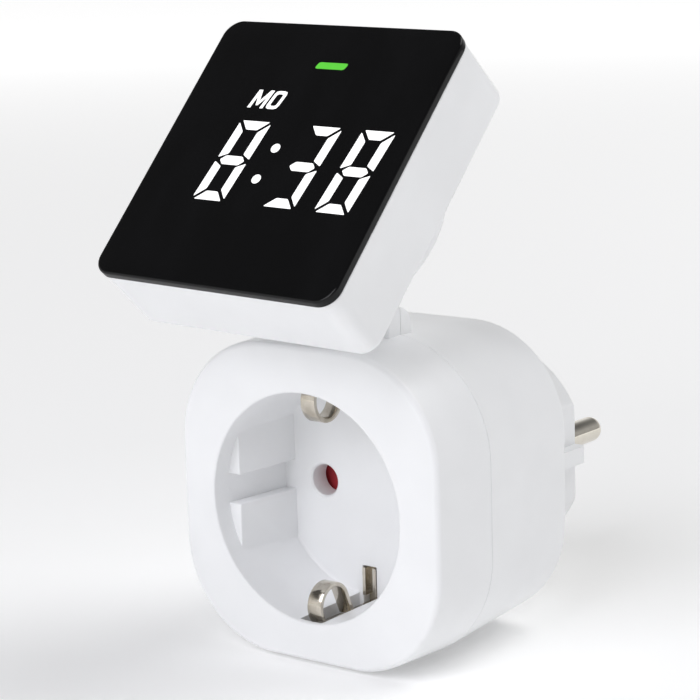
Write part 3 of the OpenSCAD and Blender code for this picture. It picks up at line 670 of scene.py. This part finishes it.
def make_arm():
    """The round cup behind the head, its neck and the hinge knuckle."""
    round_r = 2.5
    lip = 0.3
    inner = CUP_R - CUP_WALL
    back_radii = [6 + i * 3.8 for i in range(4)]
    profile = [(HUB_BORE_R, CUP_BACK)]
    profile += [(r, CUP_BACK) for r in back_radii]
    profile += fillet((CUP_R - round_r, CUP_BACK + round_r), round_r, 270, 360, 8)
    profile += [(CUP_R, CUP_FRONT - lip), (CUP_R - lip, CUP_FRONT), (inner, CUP_FRONT), (inner, CUP_FLOOR)]
    profile += [(HUB_R, CUP_FLOOR), (HUB_R, HUB_TOP), (HUB_BORE_R, HUB_TOP)]
    rings = [[(a, b, n) for a, b in circle(r, 96)] for r, n in profile]
    cup = new_piece("display_arm", *loft(rings, cyclic=True), place=ARM)
    hinge = ARM.inverted() @ HINGE
    up, out = hinge.y, hinge.z
    foot = CUP_BACK + 0.5
    foot_below, foot_above, waist = 4.2, 5.2, 2.4
    neck_points = [(up - foot_below, foot), (up - waist, out), (up + waist, out), (up + foot_above, foot)]
    neck = solid_from(neck_points, -KNUCKLE_HALF, KNUCKLE_HALF, ARM, "neck", lambda a, b, c: (c, a, b))
    rounded_edges(neck, 0.4, 3, 40)
    at = (HINGE.y, HINGE.z)
    knuckle = along_x(circle(KNUCKLE_R, 64, at), -KNUCKLE_HALF, KNUCKLE_HALF)
    add(cup, neck, rounded_edges(knuckle, 0.3, 2, 40))
    channel_half, gap_half, bore_half = 1.8, 2.1, 6
    channel_low = (-channel_half, up + 1.6, out - CLEAR)
    channel_high = (channel_half, -3.5, CUP_BACK + 6)
    channel = block(channel_low, channel_high, ARM)
    gap = along_x(circle(KNUCKLE_R + 0.5, at=at), -gap_half, gap_half)
    cut(cup, channel, gap, along_x(circle(HINGE_PIN_R, at=at), -bore_half, bore_half))
    return cup


# ---- Materials ----


class Look:
    """A material graph under construction."""

    def __init__(self, name, **values):
        self.material = bpy.data.materials.new(name)
        self.material.use_nodes = True
        self.tree = self.material.node_tree
        self.shader = self.tree.nodes["Principled BSDF"]
        for key, value in values.items():
            self.set(key.replace("_", " "), value)
        self.coords = self.tree.nodes.new("ShaderNodeTexCoord").outputs["Object"]

    def set(self, socket, value):
        self.shader.inputs[socket].default_value = value

    def link(self, output, socket):
        self.tree.links.new(output, self.shader.inputs[socket])

    def noise(self, size, detail=3, stretch=(1, 1, 1), rough=0.5):
        """Noise whose features are about size millimetres across."""
        mapping = self.tree.nodes.new("ShaderNodeMapping")
        mapping.inputs["Scale"].default_value = [s / (size * MM) for s in stretch]
        self.tree.links.new(self.coords, mapping.inputs["Vector"])
        node = self.tree.nodes.new("ShaderNodeTexNoise")
        node.inputs["Scale"].default_value = 1
        node.inputs["Detail"].default_value = detail
        node.inputs["Roughness"].default_value = rough
        self.tree.links.new(mapping.outputs["Vector"], node.inputs["Vector"])
        return node.outputs["Fac"]

    def spots(self, size):
        """Distance to scattered points about size millimetres apart."""
        mapping = self.tree.nodes.new("ShaderNodeMapping")
        mapping.inputs["Scale"].default_value = [1 / (size * MM)] * 3
        self.tree.links.new(self.coords, mapping.inputs["Vector"])
        node = self.tree.nodes.new("ShaderNodeTexVoronoi")
        node.inputs["Scale"].default_value = 1
        self.tree.links.new(mapping.outputs["Vector"], node.inputs["Vector"])
        return node.outputs["Distance"]

    def ramp(self, value, low, high, start=0.0, end=1.0):
        """A value from start to end as the input goes from low to high."""
        node = self.tree.nodes.new("ShaderNodeMapRange")
        for key, number in (("From Min", low), ("From Max", high), ("To Min", start), ("To Max", end)):
            node.inputs[key].default_value = number
        self.tree.links.new(value, node.inputs["Value"])
        return node.outputs["Result"]

    def blend(self, share, first, second):
        """Colour first turning into second. Each is a colour or an output."""
        node = self.tree.nodes.new("ShaderNodeMix")
        node.data_type = "RGBA"
        self.tree.links.new(share, node.inputs["Factor"])
        for socket, value in ((node.inputs[6], first), (node.inputs[7], second)):
            if isinstance(value, bpy.types.NodeSocket):
                self.tree.links.new(value, socket)
            else:
                socket.default_value = (*value, 1)
        return node.outputs[2]

    def math(self, operation, a, b):
        node = self.tree.nodes.new("ShaderNodeMath")
        node.operation = operation
        for socket, value in zip(node.inputs, (a, b)):
            if isinstance(value, bpy.types.NodeSocket):
                self.tree.links.new(value, socket)
            else:
                socket.default_value = value
        return node.outputs[0]

    def edges(self, radius):
        """1 on edges sharper than the radius, in millimetres, and 0 on flat faces."""
        bevel = self.tree.nodes.new("ShaderNodeBevel")
        bevel.samples = 4
        bevel.inputs["Radius"].default_value = radius * MM
        geometry = self.tree.nodes.new("ShaderNodeNewGeometry")
        dot = self.tree.nodes.new("ShaderNodeVectorMath")
        dot.operation = "DOT_PRODUCT"
        self.tree.links.new(bevel.outputs["Normal"], dot.inputs[0])
        self.tree.links.new(geometry.outputs["Normal"], dot.inputs[1])
        return self.ramp(dot.outputs["Value"], 0.98, 0.75)

    def relief(self, *layers, round_edges=None):
        """Bump from layers of (height, strength, depth in millimetres), on edges rounded by round_edges."""
        normal = None
        if round_edges:
            bevel = self.tree.nodes.new("ShaderNodeBevel")
            bevel.samples = 4
            bevel.inputs["Radius"].default_value = round_edges * MM
            normal = bevel.outputs["Normal"]
        for height, strength, depth in layers:
            bump = self.tree.nodes.new("ShaderNodeBump")
            bump.inputs["Strength"].default_value = strength
            bump.inputs["Distance"].default_value = depth * MM
            self.tree.links.new(height, bump.inputs["Height"])
            if normal is not None:
                self.tree.links.new(normal, bump.inputs["Normal"])
            normal = bump.outputs["Normal"]
        self.link(normal, "Normal")


def moulded(name, colour, roughness, grain=0.35, variation=0.03, rounding=0.12, **values):
    """Moulded plastic: spark-eroded grain, faint colour drift, edges rubbed smoother, and a painted highlight
    that lightens the colour along the edges.
    """
    look = Look(name, **values)
    drift = look.noise(14, 2)
    darker = tuple(c * (1 - variation) for c in colour)
    base = look.blend(look.ramp(drift, 0.35, 0.65), darker, colour)
    edge = look.edges(0.3)
    # painted highlight: the base colour turns lighter on the edges, standing in for light catching them
    painted_edge_highlight = tuple(min(1.0, c * 1.03 + 0.004) for c in colour)
    look.link(look.blend(edge, base, painted_edge_highlight), "Base Color")
    cloud = look.ramp(look.noise(5, 4), 0.3, 0.7, roughness - 0.03, roughness + 0.04)
    look.link(look.math("SUBTRACT", cloud, look.math("MULTIPLY", edge, 0.08)), "Roughness")
    fine = look.noise(grain, 2, rough=0.6)
    broad = look.noise(9, 1)
    look.relief((broad, 0.12, 0.05), (fine, 0.1, 0.02), round_edges=rounding)
    return look.material


TARNISH = (0.5, 0.45, 0.36)


def metal(name, colour, roughness, brush=(1, 1, 1), amount=0.25, brushed=0.1):
    """Metal with drawn or rolled marks, a light tarnish and a painted highlight that brightens the colour
    along the edges.
    """
    look = Look(name, Metallic=1.0)
    marks = look.noise(0.6, 4, stretch=brush)
    stain = look.ramp(look.noise(3.5, 4), 0.45, 0.75, 0, amount)
    base = look.blend(stain, colour, tuple(c * t for c, t in zip(colour, TARNISH)))
    # painted highlight: the base colour turns brighter on the edges, standing in for light glinting off them
    painted_edge_glint = tuple(min(1.0, c * 1.15) for c in colour)
    look.link(look.blend(look.edges(0.12), base, painted_edge_glint), "Base Color")
    look.link(look.ramp(marks, 0.3, 0.7, roughness * 0.8, roughness * 1.4), "Roughness")
    look.relief((marks, brushed, 0.01), round_edges=0.06)
    return look.material


def panel_gloss(name):
    """Polished tinted window: near black, with the faintest smears."""
    look = Look(name, Specular_IOR_Level=0.22)
    smear = look.noise(7, 3, stretch=(1, 0.4, 0.4))
    clean, smeared = (0.0048, 0.0048, 0.0051), (0.006, 0.006, 0.0065)
    look.link(look.blend(look.ramp(smear, 0.4, 0.7), clean, smeared), "Base Color")
    look.link(look.ramp(smear, 0.35, 0.75, 0.05, 0.11), "Roughness")
    look.relief((look.noise(12, 1), 0.04, 0.02), round_edges=0.08)
    return look.material


def light(name, colour, strength):
    """A lit diffuser: an even glow with a faint mottle from the diffuser behind it."""
    look = Look(name, Roughness=0.4, Specular_IOR_Level=0.2, Emission_Strength=strength)
    mottle = look.ramp(look.noise(1.2, 2), 0.3, 0.7)
    dim = tuple(c * 0.95 for c in colour)
    glow = look.blend(mottle, dim, colour)
    look.link(glow, "Emission Color")
    look.link(look.blend(mottle, tuple(c * 0.3 for c in dim), tuple(c * 0.3 for c in colour)), "Base Color")
    look.relief((look.noise(0.3, 2), 0.05, 0.01))
    return look.material


def circuit_board(name):
    """Solder mask over copper pours and tracks."""
    look = Look(name, Coat_Weight=0.3, Coat_Roughness=0.15)
    pour = look.ramp(look.spots(4), 0.35, 0.4)
    green = look.blend(pour, (0.012, 0.09, 0.03), (0.02, 0.14, 0.05))
    pads = look.ramp(look.spots(1.9), 0.16, 0.14)
    look.link(look.blend(pads, green, (0.6, 0.55, 0.42)), "Base Color")
    look.link(look.ramp(look.noise(0.8, 3), 0.3, 0.7, 0.25, 0.4), "Roughness")
    look.relief((pour, 0.3, 0.03), (pads, 0.4, 0.03), round_edges=0.05)
    return look.material


def lead_rubber(name):
    look = Look(name)
    scuff = look.noise(2.5, 4, stretch=(1, 1, 0.3))
    look.link(look.blend(look.ramp(scuff, 0.4, 0.7), (0.02, 0.02, 0.022), (0.045, 0.045, 0.05)), "Base Color")
    look.link(look.ramp(scuff, 0.3, 0.7, 0.5, 0.65), "Roughness")
    look.relief((look.noise(0.4, 2), 0.2, 0.02))
    return look.material


def make_looks():
    return {
        "white_plastic": moulded("white_plastic", (0.912, 0.918, 0.93), 0.36),
        "button_plastic": moulded("button_plastic", (0.78, 0.79, 0.8), 0.4),
        "panel_black": panel_gloss("panel_black"),
        "white_light": light("white_light", (1.0, 1.0, 1.0), 1.15),
        "green_light": light("green_light", (0.105, 0.56, 0.05), 0.95),
        "nickel": metal("nickel", (0.63, 0.585, 0.51), 0.15, brush=(0.25, 1, 1), amount=0.65),
        "pin_metal": metal("pin_metal", (0.76, 0.72, 0.64), 0.1, (1, 0.2, 1), amount=0.15, brushed=0.04),
        "steel": metal("steel", (0.62, 0.62, 0.64), 0.28, brush=(0.3, 1, 1)),
        "brass": metal("brass", (0.8, 0.6, 0.26), 0.25),
        "resistance_alloy": metal("resistance_alloy", (0.5, 0.42, 0.35), 0.35),
        "red_plastic": moulded("red_plastic", (0.62, 0.06, 0.075), 0.35, variation=0.08),
        "cream_plastic": moulded("cream_plastic", (0.72, 0.7, 0.62), 0.5, variation=0.06),
        "dark_plastic": moulded("dark_plastic", (0.03, 0.03, 0.032), 0.5, variation=0.1),
        "circuit_board": circuit_board("circuit_board"),
        "yellow_box": moulded("yellow_box", (0.65, 0.42, 0.04), 0.4, variation=0.06),
        "blue_sleeve": moulded("blue_sleeve", (0.03, 0.06, 0.22), 0.3, variation=0.1),
        "lead_rubber": lead_rubber("lead_rubber"),
    }


def paint(obj, material):
    obj.data.materials.clear()
    obj.data.materials.append(material)


# ---- The object ----

looks = make_looks()
slot_of = {row["node"]: row["material_slot"] for row in frame["record"]["subparts"]}


def weld(node):
    """Joins a carried-over CAD node's coinciding points by a modifier."""
    node.modifiers.new("weld", "WELD").merge_threshold = 1e-6


def soften(node, width):
    """Rounds a carried-over CAD node's edges by modifiers alone."""
    weld(node)
    bevel = node.modifiers.new("round", "BEVEL")
    bevel.width = width * MM
    bevel.segments = 2
    bevel.limit_method = "ANGLE"
    bevel.angle_limit = math.radians(40)
    node.modifiers.new("normals", "WEIGHTED_NORMAL").keep_sharp = True


def place(piece, node, body):
    """Puts a detailed piece in the place of one CAD node."""
    paint(piece, looks[slot_of[node]])
    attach(piece, body)
    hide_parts(node)


SOFTENED = ("button_left", "button_middle", "button_right")
BUTTON_EASE = 0.35
WELDED = ("line_pin", "neutral_pin")

for name, node in NODES.items():
    paint(node, looks[slot_of[name]])
    if name in SOFTENED:
        soften(node, BUTTON_EASE)
    if name in WELDED:
        weld(node)

place(make_front_shell(), "front_shell", "housing")
place(make_rear_shell(), "rear_shell", "housing")
place(make_arm(), "swivel_arm", "arm")
place(make_head_case(), "head_case", "head")
place(make_front_panel(), "front_panel", "head")
place(make_clip("earth_spring_upper", 1), "earth_clip_upper", "earth_clip_upper")
place(make_clip("earth_spring_lower", -1), "earth_clip_lower", "earth_clip_lower")

# ---- Studio ----

GROUND_Z = cad_low.z


def make_floor():
    """A pale floor that glows a little, and more so far from the object."""
    size = 6
    mesh = bpy.data.meshes.new("floor")
    corners = [(-size, -size), (size, -size), (size, size), (-size, size)]
    mesh.from_pydata([(x, y, GROUND_Z) for x, y in corners], [], [(0, 1, 2, 3)])
    floor = bpy.data.objects.new("floor", mesh)
    bpy.context.scene.collection.objects.link(floor)
    look = Look("floor", Roughness=0.9, Specular_IOR_Level=0.1)
    look.set("Base Color", (0.93, 0.93, 0.93, 1))
    look.set("Emission Color", (1, 1, 1, 1))
    away = look.tree.nodes.new("ShaderNodeVectorMath")
    away.operation = "LENGTH"
    look.tree.links.new(look.coords, away.inputs[0])
    look.link(look.ramp(away.outputs["Value"], 0.15, 1.6, 0.16, 0.8), "Emission Strength")
    floor.data.materials.append(look.material)


def softbox(name, direction, distance, size, power, colour=(1, 1, 1)):
    """A square area light aimed at the object from a direction."""
    data = bpy.data.lights.new(name, "AREA")
    data.shape = "SQUARE"
    data.size = size
    data.energy = power
    data.color = colour
    lamp = bpy.data.objects.new(name, data)
    bpy.context.scene.collection.objects.link(lamp)
    centre = (cad_low + cad_high) / 2
    away = Vector(direction).normalized()
    lamp.location = centre + away * distance
    lamp.rotation_euler = away.to_track_quat("Z", "Y").to_euler()


def make_sky():
    """A bright horizon, dimmer on the right, that fades to a dark studio ceiling."""
    world = bpy.data.worlds.new("studio")
    bpy.context.scene.world = world
    world.use_nodes = True
    tree = world.node_tree
    coords = tree.nodes.new("ShaderNodeTexCoord")
    split = tree.nodes.new("ShaderNodeSeparateXYZ")
    tree.links.new(coords.outputs["Generated"], split.inputs["Vector"])
    levels = []
    for axis, low, high, start, end in (("X", -0.5, 0.9, 0.9, 0.3), ("Z", 0.2, 0.62, 1.0, 0.09)):
        node = tree.nodes.new("ShaderNodeMapRange")
        node.interpolation_type = "SMOOTHSTEP"
        for key, number in (("From Min", low), ("From Max", high), ("To Min", start), ("To Max", end)):
            node.inputs[key].default_value = number
        tree.links.new(split.outputs[axis], node.inputs["Value"])
        levels.append(node.outputs["Result"])
    product = tree.nodes.new("ShaderNodeMath")
    product.operation = "MULTIPLY"
    for level, socket in zip(levels, product.inputs):
        tree.links.new(level, socket)
    background = tree.nodes["Background"]
    background.inputs["Color"].default_value = (1, 1, 1, 1)
    tree.links.new(product.outputs[0], background.inputs["Strength"])


make_floor()
make_sky()
softbox("key", (0.0, -1.0, 0.82), 1.2, 0.8, 7.6, (0.955, 0.958, 1.0))
softbox("top", (0.5, 0.45, 1.0), 1.2, 0.8, 7.6)
bpy.context.scene.view_settings.view_transform = "Standard"
